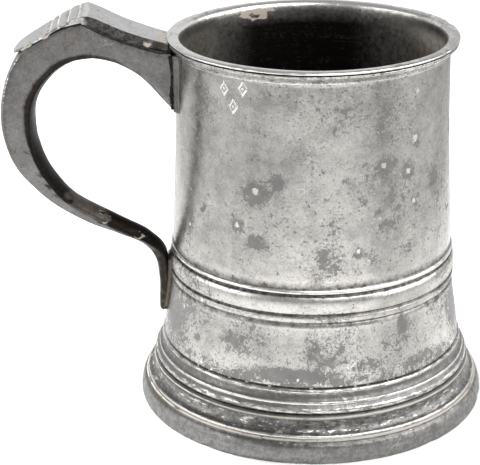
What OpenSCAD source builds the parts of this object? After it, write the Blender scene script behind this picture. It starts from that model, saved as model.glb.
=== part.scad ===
// Pewter quart mug: tapered drum, stepped foot and an angular handle with a ridged thumb plate.
// Z is up, the origin is the centre of the base, and the handle points towards -X.

/* [Body] */
// Height of the lip above the table
mug_h = 146; // [142:1:150]
// Outside diameter of the lip
lip_d = 110; // [108:0.5:113]
// Outside diameter of the drum where it enters the foot
drum_base_d = 117; // [115:0.5:118.5]
// Thickness of the drum wall
wall_t = 1.6; // [1.4:0.1:1.8]
// Height of the middle of the turned band
band_z = 58; // [56:0.5:61]

/* [Foot and floor] */
// Diameter of the foot where it meets the table
foot_d = 136.8; // [134:0.2:140]
// Height of the top edge of the foot
foot_h = 26.1; // [25:0.1:27.5]
// Height of the inside floor
floor_z = 14.5; // [13.5:0.1:16]
// Thickness of the floor disc
floor_t = 2; // [1.6:0.1:2.4]

/* [Handle] */
// Distance from the drum's axis to the back of the grip
handle_reach = 118.6; // [114:0.2:124]
// Width of the handle under the ridge
handle_w = 20.6; // [18:0.2:21.4]
// Width of the tail that lies on the drum
tail_w = 10.6; // [9:0.2:12]
// Wall thickness of the hollow handle casting
handle_wall = 2.2; // [1.8:0.1:2.5]

/* [Thumb plate] */
// Width of the plate at its ridge
plate_w = 21.2; // [19:0.2:22.4]
// Depth of the cross grooves on the outer slope
groove_depth = 0.4; // [0.2:0.1:0.6]

/* [Joints] */
// Thickness of the solder in the flat joints
solder_t = 0.4; // [0.3:0.05:0.5]
// Thickness of the saddle plate at its middle
pad_t = 1.3; // [1:0.1:1.6]

/* [Hidden] */
$fn = 240;

PEWTER = [0.64, 0.63, 0.61];
FOOT_GREY = [0.50, 0.50, 0.50];
HANDLE_GREY = [0.42, 0.41, 0.41];
SEAM = [0.24, 0.22, 0.20];

lip_r = lip_d / 2;
neck_r = lip_r - 3.35;
base_r = drum_base_d / 2;
foot_r = foot_d / 2;
seat_r = base_r - 0.6;       // drum's turned seat inside the foot
spigot_r = seat_r - 1.3;     // inside of the drum below the shoulder
shoulder_z = foot_h + 0.6;
spigot_z = floor_z - floor_t - 2;
lip_z = mug_h - 5.8;         // where the lip moulding leaves the wall
far = 200;                   // larger than the whole mug

// Curve through the knots, with n steps between each two
function curve_point(a, b, c, d, t) =
    0.5 * (2 * b + (c - a) * t + (2 * a - 5 * b + 4 * c - d) * t * t + (3 * b - a - 3 * c + d) * t * t * t);
function curve(k, n = 4) = [
    for (i = [0 : len(k) - 2], j = [0 : n - 1])
        curve_point(k[max(i - 1, 0)], k[i], k[i + 1], k[min(i + 2, len(k) - 1)], j / n),
    k[len(k) - 1]
];
function reverse(p) = [for (i = [len(p) - 1 : -1 : 0]) p[i]];
function slice(p, a, b) = [for (i = [a : b]) p[i]];
// The same path moved sideways by d, to its left
function normal(p, i) =
    let (a = p[max(i - 1, 0)], b = p[min(i + 1, len(p) - 1)], t = b - a)
    [-t[1], t[0]] / norm(t);
function shifted(p, d) = [for (i = [0 : len(p) - 1]) p[i] + normal(p, i) * d];

// Outside of the drum wall, bottom to top, without the turned band
wall_knots = [
    [base_r, shoulder_z],
    [neck_r + 5.75, foot_h + 10],
    [neck_r + 3.95, band_z - 9],
    [neck_r + 2.85, band_z + 7],
    [neck_r + 1.4, band_z + 36],
    [neck_r + 0.45, band_z + 57],
    [neck_r, lip_z]
];
wall = curve(wall_knots);
lower_wall = slice(wall, 0, 8);                  // up to the band
upper_wall = slice(wall, 12, len(wall) - 1);     // from the band to the lip

// Turned band: [radius past the neck, height past the band's middle], bottom to top
band = [
    [3.9, -7.4], [3.75, -6.8], [4.15, -6], [4.05, -4.4], [3.35, -3.8], [4.05, -3], [4.25, -1], [4.2, 1],
    [3.65, 2.8], [2.75, 3.7], [3.25, 4.4], [3.5, 5.1], [3.05, 5.8], [2.65, 6.4]
];
// Lip moulding: [radius past the lip's edge, height past the lip's top], bottom to top
lip = [
    [-3.1, -5.4], [-2.7, -4.9], [-2.1, -4.2], [-0.7, -3.1], [-0.2, -2.1], [-0.4, -1.4], [0, -0.8],
    [-0.5, -0.2], [-2.3, 0], [-4.6, -1.1]
];
function past(p, r, z) = [for (q = p) q + [r, z]];
drum_outside = concat(
    [[seat_r, shoulder_z]],
    lower_wall,
    past(band, neck_r, band_z),
    upper_wall,
    past(lip, lip_r, mug_h)
);
drum_inside = concat(
    [[lip_r - 5, mug_h - 6]],
    reverse(past(slice(wall, 1, len(wall) - 3), -wall_t, 0)),
    [[spigot_r, shoulder_z - 1]]
);

module turned(outline, tone) color(tone) rotate_extrude() polygon(outline);

module drum() turned(concat(
    [[spigot_r, spigot_z], [seat_r, spigot_z]],
    drum_outside,
    drum_inside
), PEWTER);

// Everything inside the drum's outer surface, used to trim what is soldered on
module drum_body() rotate_extrude() polygon(concat([[0, shoulder_z]], drum_outside, [[0, mug_h]]));

// Foot moulding: [radius back from the foot's edge, share of the foot's height], top to bottom
foot_steps = [
    [9.4, 0.985], [9, 0.967], [9.1, 0.946], [9.2, 0.931], [8.7, 0.858], [7.75, 0.831], [7.65, 0.812],
    [7.75, 0.785], [7, 0.762], [6.4, 0.732], [6.3, 0.697], [6.6, 0.674], [6.8, 0.663], [5.65, 0.609],
    [5.65, 0.594], [5.95, 0.571], [5.75, 0.502], [5, 0.441], [3.9, 0.402], [3, 0.385], [2.9, 0.349],
    [2.4, 0.337], [2.2, 0.301], [1.5, 0.28], [0.7, 0.222], [0.2, 0.142], [0, 0.061], [0.1, 0.015], [0.4, 0]
];
foot_hollow = [[3.4, 0], [3.6, 0.077], [5.8, 0.211], [8, 0.364]];
function foot_point(q) = [foot_r - q[0], q[1] * foot_h];
foot_profile = concat(
    [[seat_r, foot_h * 0.54], [seat_r, foot_h]],
    [for (q = foot_steps) foot_point(q)],
    [for (q = foot_hollow) foot_point(q)]
);

module foot_ring() turned(foot_profile, FOOT_GREY);

module foot_solder() turned([
    [seat_r, foot_h], [seat_r + 0.35, foot_h], [seat_r + 0.35, shoulder_z], [seat_r, shoulder_z]
], SEAM);

module bottom_disc() color(PEWTER) translate([0, 0, floor_z - floor_t]) cylinder(r = spigot_r, h = floor_t);

module bottom_solder() turned([
    [spigot_r, floor_z - floor_t], [spigot_r - 2.2, floor_z - floor_t], [spigot_r, spigot_z + 0.1]
], SEAM);

// Handle outlines run from the drum outwards, as [distance from the axis, height].
// They are drawn for a reach of 118.6 mm and a lip 146 mm high, and stretched to the set sizes.
stretch = (handle_reach - 51.65) / (118.6 - 51.65);
rise = mug_h / 146;
function place(q) = [-(neck_r + (q[0] - 51.65) * stretch), q[1] * rise];
function places(p) = [for (q = p) place(q)];

// Seam between the handle casting and the thumb plate, lip to tip
seam_points = [[50, 141], [57, 141.2], [66, 143.8], [76, 147.6], [86.4, 153], [93.5, 151.2], [101, 147.3]];
seam_end = [107.4, 143.6];
seam = places(concat(seam_points, [seam_end]));
grip_outer = curve(places([
    seam_end, [112.4, 137], [116.2, 129], [118.4, 119], [118.2, 109], [115, 98.5], [109.5, 90.5],
    [100.5, 81.5], [88, 73.5], [76, 68], [66.5, 63], [61.6, 57], [60, 48], [60.3, 36.5]
]));
grip_inner = curve(places([
    [50, 114.6], [56.5, 122.6], [64.5, 131.6], [73.5, 137.2], [83, 138.9], [93, 135.6], [101.2, 128],
    [105.3, 118], [104.9, 107], [101, 95.5], [93.2, 84.6], [80, 76.6], [66.6, 69.5], [59.8, 63.6],
    [56.6, 59], [54.5, 52]
]));
tail_end = places([[59.7, 35], [58.4, 34.3], [50, 34.3]]);
handle_outline = concat(places(seam_points), grip_outer, tail_end, reverse(grip_inner));

// Hollow of the casting: a trough that the thumb plate closes
mouth_in = 58;
mouth_out = 101;
above = 170;
cavity_outline = concat(
    places([[mouth_in, above], [mouth_out, above], [mouth_out, 142.5]]),
    shifted(slice(grip_outer, 4, 36), handle_wall),
    reverse(shifted(slice(grip_inner, 5, 44), -handle_wall))
);

// Half widths seen from behind, as [half width, height], and from above, as [distance, half width]
half_w = handle_w / 2;
half_tail = tail_w / 2;
handle_behind = [for (q = [
    [half_tail - 1.2, 34.3], [half_tail, 37], [half_tail, 60], [half_tail + 0.7, 68], [half_w - 2.9, 84],
    [half_w - 1.5, 109], [half_w - 0.8, 126], [half_w, 150]
]) [q[0], q[1] * rise]];
handle_above = [[50, half_w - 1.9], [60, half_w - 1.1], [70, half_w - 0.4], [84, half_w], [125, half_w]];
half_plate = plate_w / 2;
tip_from = 103.5;
tip_long = 8.8;
plate_above = concat(
    [[50, half_plate - 1.5], [58, half_plate - 1.3], [70, half_plate - 0.4], [84, half_plate],
        [92, half_plate - 0.2]],
    [for (a = [0 : 15 : 75]) [tip_from + tip_long * sin(a), (half_plate - 0.8) * cos(a)]],
    [[tip_from + tip_long, 0]]
);

module sideways(outline) rotate([90, 0, 0]) linear_extrude(height = far, center = true) polygon(outline);
module from_behind(half, cut = 0)
    rotate([90, 0, 90]) linear_extrude(height = far * 2, center = true) polygon(concat(
        [for (q = half) [q[0] - cut, q[1]]], [[half[len(half) - 1][0] - cut, far]],
        [[cut - half[len(half) - 1][0], far]], [for (q = reverse(half)) [cut - q[0], q[1]]]
    ));
module from_above(half, cut = 0) linear_extrude(height = far) polygon(concat(
    [for (q = half) [place(q)[0], q[1] - cut]], [for (q = reverse(half)) [place(q)[0], cut - q[1]]]
));

// Smooth seat for the tail, clear of the band's crest
tail_gap = 1;
module tail_seat() rotate_extrude() polygon(concat(
    [[0, shoulder_z]], past(slice(wall, 0, 12), tail_gap, 0), [[0, band_z + 7]]
));

seam_in = 0.4;               // how far solder stays back from an edge
pad_half = 8.6;              // flat part of the saddle plate
pad_bevel = 2.2;
pad_low = 118.4 * rise;
pad_high = lip_z - 0.2;
pad_x = -(neck_r + pad_t);
end_x = pad_x - solder_t;    // cut end of the handle

module handle_shell() color(HANDLE_GREY) difference() {
    intersection() {
        sideways(handle_outline);
        from_behind(handle_behind);
        from_above(handle_above);
    }
    intersection() {
        sideways(cavity_outline);
        from_behind(handle_behind, handle_wall);
        from_above(handle_above, handle_wall);
    }
    translate([end_x, -far / 2, mug_h / 2]) cube(far);
    drum_body();
    tail_seat();
}

// Top of the plate, lip to tip, with a ridge between a long inner slope and a grooved outer slope
plate_top = places([
    [50, 143.7], [55, 145.1], [64.3, 148], [71.5, 150.8], [79.5, 154.7], [84.3, 156.5], [88.8, 155.4],
    [93.4, 153.2], [98.9, 149.9], [106.6, 145.1], [111.2, 142.3], [112.3, 141.2], [111.6, 140]
]);
groove_at = [[86.9, 155.9], [90.8, 154.5], [94.9, 152.4], [97.7, 150.7]];
groove_w = 0.8;
outer_slope = 25;            // degrees

module thumb_plate() color(PEWTER) difference() {
    intersection() {
        sideways(concat(plate_top, reverse(past(seam, 0, solder_t))));
        from_above(plate_above);
    }
    for (q = groove_at)
        translate([place(q)[0], 0, place(q)[1]]) rotate([0, -outer_slope, 0])
            cube([groove_w, far, groove_depth * 2], center = true);
    drum_body();
}

module plate_solder() color(SEAM) difference() {
    intersection() {
        sideways(concat(seam, reverse(past(seam, 0, solder_t))));
        from_above(handle_above, seam_in);
    }
    intersection() {
        sideways(cavity_outline);
        from_above(handle_above, handle_wall);
    }
    translate([end_x, -far / 2, pad_low]) cube(far);
    drum_body();
}

module upper_pad() color(PEWTER) difference() {
    translate([0, 0, pad_low]) linear_extrude(height = pad_high - pad_low) polygon([
        [pad_x, -pad_half], [pad_x, pad_half], [pad_x + pad_bevel, pad_half + pad_bevel],
        [-neck_r / 2, pad_half + pad_bevel], [-neck_r / 2, -pad_half - pad_bevel],
        [pad_x + pad_bevel, -pad_half - pad_bevel]
    ]);
    drum_body();
}

module handle_solder() color(SEAM)
    translate([end_x, seam_in - pad_half, pad_low + 4 * seam_in])
        cube([solder_t, 2 * (pad_half - seam_in), pad_high - pad_low - 5 * seam_in]);

tail_low = 35.5 * rise;
tail_high = 57 * rise;

module tail_solder() color(SEAM) difference() {
    intersection() {
        tail_seat();
        translate([-far, seam_in - half_tail, tail_low])
            cube([far, tail_w - 2 * seam_in, tail_high - tail_low]);
    }
    drum_body();
}

drum();
foot_ring();
foot_solder();
bottom_disc();
bottom_solder();
handle_shell();
thumb_plate();
plate_solder();
upper_pad();
handle_solder();
tail_solder();
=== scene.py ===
"""A lidless pewter tankard on a pale floor: turned drum, stepped foot, angular handle, ridged thumb plate.

Lengths are in millimetres until a mesh is made. Heights are above the table, radii are from the drum's axis,
and the handle lies in the plane Y = 0, towards -X. Angles round the drum are in degrees from +X: the handle
is at 180 and the front is at -90.
"""
import math

import bpy
from mathutils import Matrix, Vector, noise


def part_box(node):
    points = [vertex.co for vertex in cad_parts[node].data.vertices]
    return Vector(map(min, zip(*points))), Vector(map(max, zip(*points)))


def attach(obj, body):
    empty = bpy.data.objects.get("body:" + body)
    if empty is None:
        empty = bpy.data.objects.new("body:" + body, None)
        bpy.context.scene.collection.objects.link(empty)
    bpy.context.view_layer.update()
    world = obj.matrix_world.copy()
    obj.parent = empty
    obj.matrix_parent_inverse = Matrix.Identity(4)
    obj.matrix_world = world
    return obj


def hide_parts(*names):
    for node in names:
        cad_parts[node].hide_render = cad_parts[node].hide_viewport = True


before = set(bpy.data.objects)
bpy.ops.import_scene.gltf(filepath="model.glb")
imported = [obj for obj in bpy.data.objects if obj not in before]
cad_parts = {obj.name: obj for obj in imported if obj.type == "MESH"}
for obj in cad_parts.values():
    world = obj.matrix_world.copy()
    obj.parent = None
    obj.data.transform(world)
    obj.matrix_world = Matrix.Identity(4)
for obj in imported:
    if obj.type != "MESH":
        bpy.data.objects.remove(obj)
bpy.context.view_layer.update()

MM = 0.001
SEGMENTS = 400               # faces round each turned piece

# noise_vector takes its offsets from the clock unless a seed is set
noise.seed_set(1)

# What lies on the metal, from 0 to 1 at each point of a mesh, in order: dull grey tarnish, which is painted
# shade at a few places low on the drum; a near-black film, which is also painted shade inside the drum, under
# the thumb plate and on the plate's edges; a brown film; a bright rub; and pale dirt
MARKS = ("bloom", "oxide", "brown", "worn", "cream")

# ---------------------------------------------------------------- driving sizes, from the frame
lip_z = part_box("drum")[1][2] / MM
foot_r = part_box("foot_ring")[1][0] / MM
foot_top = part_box("foot_ring")[1][2] / MM
shoulder_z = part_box("foot_solder")[1][2] / MM
floor_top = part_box("bottom_disc")[1][2] / MM
floor_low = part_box("bottom_disc")[0][2] / MM
spigot_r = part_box("bottom_disc")[1][0] / MM
spigot_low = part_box("drum")[0][2] / MM
pad_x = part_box("upper_pad")[0][0] / MM
pad_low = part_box("upper_pad")[0][2] / MM
pad_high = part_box("upper_pad")[1][2] / MM
end_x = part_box("handle_solder")[0][0] / MM
tail_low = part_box("tail_solder")[0][2] / MM
tail_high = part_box("tail_solder")[1][2] / MM
LIP_R = 55.0
NECK_R = LIP_R - 3.35
WALL = 1.6
BAND_Z = 58.0


# ---------------------------------------------------------------- small helpers
def smooth(a, b, x):
    """0 below a, 1 above b, and a soft step between."""
    t = min(max((x - a) / (b - a), 0.0), 1.0)
    return t * t * (3 - 2 * t)


def bell(x, width):
    """A bell of height 1 and the given half width."""
    return math.exp(-((x / width) ** 2))


def wander(x, size, seed):
    """A smooth random line, from about -1 to 1, with bends of the given size."""
    return noise.noise(Vector((x / size, seed * 3.7, seed * 1.3)))


def table(points, x):
    """The value at x on a line through the (x, value) points."""
    if x <= points[0][0]:
        return points[0][1]
    for (x0, v0), (x1, v1) in zip(points, points[1:]):
        if x <= x1:
            return v0 + (v1 - v0) * (x - x0) / (x1 - x0)
    return points[-1][1]


def spline(t, p, q, r, s):
    """A smooth line from q, where t is 0, to r, where t is 1. p comes before them and s after them."""
    bend = 2 * p - 5 * q + 4 * r - s
    twist = 3 * q - p - 3 * r + s
    return 0.5 * (2 * q + (r - p) * t + bend * t * t + twist * t ** 3)


def curve(knots, steps):
    """Points on a smooth curve through the knots, steps to a span."""
    result = []
    last = len(knots) - 1
    for i in range(last):
        near = (knots[max(i - 1, 0)], knots[i], knots[i + 1], knots[min(i + 2, last)])
        for j in range(steps):
            result.append(tuple(spline(j / steps, *values) for values in zip(*near)))
    result.append(tuple(knots[-1]))
    return result


def make_piece(name, points, faces, material, replaced, marks):
    """A smooth-shaded mesh object from points in millimetres. marks holds the marks of each point, in order;
    points past its end have none."""
    mesh = bpy.data.meshes.new(name)
    mesh.from_pydata([(x * MM, y * MM, z * MM) for x, y, z in points], [], faces)
    bare = [0.0] * (len(points) - len(marks))
    for mark in MARKS:
        values = [here.get(mark, 0.0) for here in marks] + bare
        mesh.attributes.new(mark, "FLOAT", "POINT").data.foreach_set("value", values)
    mesh.polygons.foreach_set("use_smooth", [True] * len(mesh.polygons))
    mesh.materials.append(material)
    mesh.update()
    piece = bpy.data.objects.new(name, mesh)
    bpy.context.scene.collection.objects.link(piece)
    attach(piece, "root")
    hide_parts(*replaced)


def quads(start, rows, count, closed):
    """Faces between rings of count points, and from the last ring back to the first where closed."""
    faces = []
    for i in range(rows if closed else rows - 1):
        here = start + i * count
        there = start + (i + 1) % rows * count
        for k in range(count):
            n = (k + 1) % count
            faces.append((here + k, here + n, there + n, there + k))
    return faces


def capped(start, rows, count):
    """Faces of a stack of rings. Two centre points after them close the first ring and the last."""
    faces = quads(start, rows, count, False)
    centre = start + rows * count
    last = centre - count
    for k in range(count):
        n = (k + 1) % count
        faces.append((centre, start + n, start + k))
        faces.append((centre + 1, last + k, last + n))
    return faces


def run(knots, steps=4, **marks):
    """One stretch of a turned outline as rows: (radius, height, marks)."""
    return [(r, z, marks) for r, z in curve(knots, steps)]


def lathe(name, rows, warp, material, replaced, paint=None):
    """A closed outline of rows, turned about Z. warp moves each point, and paint changes its marks."""
    points = []
    marks = []
    for r, z, row_marks in rows:
        for k in range(SEGMENTS):
            angle = 360 * k / SEGMENTS - 180
            radius, height = warp(r, z, angle)
            turn = math.radians(angle)
            points.append((radius * math.cos(turn), radius * math.sin(turn), height))
            marks.append(paint(r, z, angle, row_marks) if paint else row_marks)
    make_piece(name, points, quads(0, len(rows), SEGMENTS, True), material, replaced, marks)


def loft(name, loops, material, replaced, marks):
    """A skin over rings with the same number of points, closed at both ends."""
    count = len(loops[0])
    points = [p for loop in loops for p in loop]
    for loop in (loops[0], loops[-1]):
        points.append(tuple(sum(p[axis] for p in loop) / count for axis in range(3)))
    make_piece(name, points, capped(0, len(loops), count), material, replaced, marks)


def roughened(loops, size, amount, seed):
    """The loops with every point moved a little by smooth noise."""
    start = Vector((seed, 2 * seed, 0))

    def moved(point):
        place = Vector(point)
        return tuple(place + noise.noise_vector(place / size + start) * amount)

    return [[moved(point) for point in loop] for loop in loops]


# ---------------------------------------------------------------- the drum's wall
WALL_KNOTS = [(58.5, shoulder_z), (NECK_R + 5.75, 36.1), (NECK_R + 3.95, BAND_Z - 9),
    (NECK_R + 2.85, BAND_Z + 7), (NECK_R + 1.4, BAND_Z + 36), (NECK_R + 0.45, BAND_Z + 57),
    (NECK_R, lip_z - 5.8)]
wall_line = curve(WALL_KNOTS, 12)


def wall_r(z):
    """Outside radius of the drum wall at a height, without the turned band."""
    return table([(height, r) for r, height in wall_line], z)


# ---------------------------------------------------------------- wear in the shape
# Shallow dents in the drum: angle, height, depth, size
DENTS = [(-105, 118, 0.25, 9), (-70, 92, 0.2, 14), (-40, 108, 0.3, 10), (20, 80, 0.3, 12),
    (75, 112, 0.35, 11), (130, 75, 0.3, 13), (-130, 84, 0.2, 12), (-20, 130, 0.2, 8), (-85, 40, 0.15, 10),
    (160, 100, 0.3, 12)]
# Knocks in the edge of the lip and of the foot: angle, depth, width in degrees
LIP_KNOCKS = [(-124, 0.35, 1.6), (-119, 0.25, 1.1), (-100, 0.2, 2), (-61, 0.3, 1.4), (-33, 0.3, 2),
    (12, 0.3, 2.5), (48, 0.4, 1.5), (95, 0.3, 3), (141, 0.35, 1.8)]
FOOT_KNOCKS = [(-130, 0.5, 1.5), (-96, 0.35, 1.2), (-52, 0.4, 2.2), (-15, 0.5, 1.8), (33, 0.5, 2),
    (80, 0.4, 2.5), (118, 0.5, 1.6), (165, 0.4, 2)]


def turn_gap(a, b):
    """The angle between two directions, in degrees, from -180 to 180."""
    return (a - b + 180) % 360 - 180


def knocks(places, angle):
    """How deep the knocks in an edge are at an angle."""
    return sum(depth * bell(turn_gap(angle, at), width) for at, depth, width in places)


def warp_drum(r, z, angle):
    """Slightly out of round above the foot, with dents, a wavering lip and knocked edges."""
    turn = math.radians(angle)
    free = smooth(shoulder_z, shoulder_z + 14, z)
    shift = 0.10 * math.cos(2 * turn + 0.9) - 0.12
    shift += 0.10 * noise.noise(Vector((math.cos(turn) * 2.6, math.sin(turn) * 2.6, z / 26)))
    for at, height, depth, size in DENTS:
        if abs(z - height) < 2.5 * size:
            along = math.radians(turn_gap(angle, at)) * r
            shift -= depth * bell(math.hypot(along, z - height), size)
    top = smooth(lip_z - 8, lip_z - 1, z)
    edge = smooth(LIP_R - 2.2, LIP_R, r) * top
    bite = knocks(LIP_KNOCKS, angle) + 0.06 * wander(angle, 2.2, z / 6)
    lift = top * (0.10 * math.sin(2 * turn + 1.1) + 0.05 * math.sin(5 * turn) - 0.15)
    return r + free * shift - edge * bite, z + lift - 0.5 * edge * bite


def warp_foot(r, z, angle):
    """A knocked lower edge, and a fine grain that stops short of the table."""
    edge = smooth(foot_r - 2.5, foot_r, r)
    bite = knocks(FOOT_KNOCKS, angle) + 0.08 * wander(angle, 3, z / 12) + 0.12
    grain = 0.07 * noise.noise(Vector((angle / 4, z / 2, 1.3)))
    return r - edge * bite + grain * smooth(0.2, 1.5, z), z


def warp_seam(r, z, angle):
    """A ragged solder line: it wanders in and out by a fraction of a millimetre."""
    return r + 0.22 * wander(angle, 1.6, z / 4), z


def warp_none(r, z, angle):
    """Leaves a point where it is."""
    return r, z


# ---------------------------------------------------------------- tarnish on the drum
# Patches of dull bloom: angle, height, half width, half height, strength. Strength 1 is a solid patch, 0.6 is
# a scatter of flakes, and 0.4 or less a faint haze with specks. The last four, low on the drum at its left
# and right, are painted shade where the drum mirrors the shaded floor beside the mug.
PATCHES = [
    (-117, 99, 4.6, 4.0, 1.0), (-108, 104, 2.4, 2.6, 1.0), (-125, 86, 2.2, 2.0, 1.0),
    (-116, 80, 3.8, 2.0, 1.05), (-118, 112, 2.0, 1.4, 0.7), (-110, 92, 2.0, 3.0, 0.55),
    (-86, 89, 5.0, 8.0, 0.50), (-88, 75, 6.0, 8.0, 0.66), (-91, 69, 4.0, 3.0, 0.66),
    (-64, 109, 3.3, 2.6, 1.0), (-53, 105, 2.4, 2.8, 1.0), (-48, 116, 2.2, 2.4, 0.8),
    (-61, 99, 2.0, 4.5, 0.75), (-59, 92, 1.8, 1.4, 0.9), (-67, 92, 1.6, 1.4, 0.9),
    (-81, 105, 1.6, 1.4, 0.8), (-74, 97, 1.8, 1.6, 0.8), (-63, 86, 3.4, 1.8, 0.9),
    (-49, 92, 2.6, 2.8, 0.72), (-54, 76, 4.5, 3.0, 0.6), (-75, 77, 2.8, 1.8, 0.8),
    (-70, 75, 1.8, 2.4, 0.75), (-124, 41, 5.5, 4.5, 0.78), (-143, 37, 2.4, 2.0, 0.7),
    (-149, 46, 2.0, 7.0, 0.62), (-102, 31, 15.0, 2.6, 1.0), (-93, 40, 4.0, 6.0, 0.72),
    (-87, 53, 6.0, 2.6, 0.62), (-88, 36, 7.0, 3.0, 0.7), (-56, 46, 3.2, 4.0, 0.85),
    (-72, 34, 9.0, 3.0, 0.66), (-50, 31, 12.0, 2.6, 0.72), (-152, 83, 2.4, 10.0, 0.75),
    (-144, 129, 4.5, 5.0, 0.62), (-62, 126, 5.0, 2.6, 0.6), (-36, 99, 3.0, 3.4, 0.9),
    (-22, 84, 2.6, 2.2, 0.8), (-12, 112, 4.0, 3.0, 0.9), (-25, 44, 6.0, 4.0, 0.75),
    (8, 92, 3.4, 4.2, 0.95), (22, 118, 2.6, 2.2, 0.85), (30, 74, 5.0, 5.0, 0.7), (47, 98, 3.0, 2.6, 1.0),
    (60, 42, 7.0, 4.0, 0.75), (72, 108, 3.6, 4.6, 0.85), (88, 84, 2.8, 2.4, 0.95),
    (104, 100, 6.0, 6.0, 0.62), (121, 120, 3.2, 2.6, 0.9), (128, 46, 6.0, 5.0, 0.75),
    (143, 90, 3.4, 3.0, 0.95), (158, 76, 4.0, 5.0, 0.7), (178, 84, 5.0, 9.0, 0.65),
    (-60, 122, 12, 9, 0.35), (-72, 104, 10, 12, 0.32), (-54, 96, 12, 16, 0.36), (-116, 122, 9, 9, 0.26),
    (-96, 112, 10, 10, 0.26), (-112, 88, 11, 14, 0.24), (-86, 72, 10, 10, 0.38), (-120, 44, 14, 8, 0.42),
    (-84, 42, 12, 9, 0.42), (-60, 40, 12, 8, 0.44), (-30, 92, 14, 20, 0.38), (20, 96, 16, 22, 0.40),
    (70, 92, 16, 22, 0.38), (115, 96, 16, 22, 0.40), (10, 42, 18, 8, 0.40), (100, 40, 18, 8, 0.42),
    # Painted shade, not bloom: the (-152, 50) and (-27, 50) patches below and the two on the line after them
    (-152, 50, 16, 15, 0.60), (-27, 50, 13, 13, 0.58), (-84, 130, 20, 10, 0.40), (-64, 132, 10, 14, 0.48),
    (-162, 39, 12, 12, 0.84), (-17, 42, 10, 14, 0.86),
]
# Bright chips in the skin, most of them in a dull patch: angle, height, half width
CHIPS = [(-48, 134, 0.8), (-49, 116.5, 1.3), (-65, 109, 1.0), (-53, 105, 1.1), (-50, 93, 0.9),
    (-117, 100, 1.2), (-125, 86, 1.0), (-76, 78, 0.8), (-22, 84, 0.9), (30, 76, 1.0), (72, 109, 1.1),
    (128, 47, 1.0)]
# Where fine specks are thick: angle, height, half width in degrees, half height
SPECKLED = [(-90, 84, 14, 26), (-60, 98, 22, 26), (-120, 90, 16, 22), (-110, 36, 40, 9),
    (-60, 38, 30, 10), (-20, 100, 20, 24), (40, 92, 26, 28), (110, 96, 26, 24), (90, 40, 50, 10),
    (160, 95, 18, 26)]


def drum_marks(r, z, angle, row_marks):
    """The outline's own marks with the tarnish patches, or inside the drum a near-black film of oxide and
    painted shade.
    """
    here = dict(row_marks)
    if here.get("inside"):
        # Painted shade as well as oxide: the inside is near-black deep down, at the back and at the front,
        # and brown at the two sides
        deep = smooth(lip_z - 2.5, lip_z - 9, z)
        dark = smooth(20, 70, angle) * (1 - smooth(112, 150, angle)) * deep + 0.5 * (1 - deep)
        near = smooth(-10, -60, angle) * smooth(-178, -130, angle)
        here["oxide"] = (0.10 + 0.90 * max(dark, near)) * (0.70 + 0.30 * deep)
        here["brown"] = 0.85 * (1 - max(dark, near)) * deep
        torn = 0.62 + 0.9 * noise.noise(Vector((angle / 4.5, z / 1.8, 3)))
        here["cream"] = smooth(0.25, 0.4, torn * bell(turn_gap(angle, 113), 10) * bell(z - (lip_z - 4), 3.2))
        return here
    low = smooth(shoulder_z + 11, shoulder_z, z) * (0.62 + 0.6 * wander(angle, 9, z / 9))
    bloom = max(here.get("bloom", 0.0), low)
    for at, height, wide, high, strength in PATCHES:
        up = (z - height) / high
        if abs(up) < 2:
            along = math.radians(turn_gap(angle, at)) * r / wide
            reach = 1.25 + 0.6 * max(strength - 0.6, 0)
            bloom = max(bloom, strength * (reach - 0.75 * math.hypot(along, up)))
    # Painted shade: the rim's bright rub is cut back towards the front right, to tone down a highlight there
    if z > lip_z - 2 and here.get("worn"):
        here["worn"] *= 1 - 0.6 * bell(turn_gap(angle, -15), 45)
    specks = max(
        bell(turn_gap(angle, at), wide) * bell(z - height, high)
        for at, height, wide, high in SPECKLED
    )
    here["bloom"] = min(max(bloom, 0.29 * specks, 0.0), 1.0)
    return here


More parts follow.
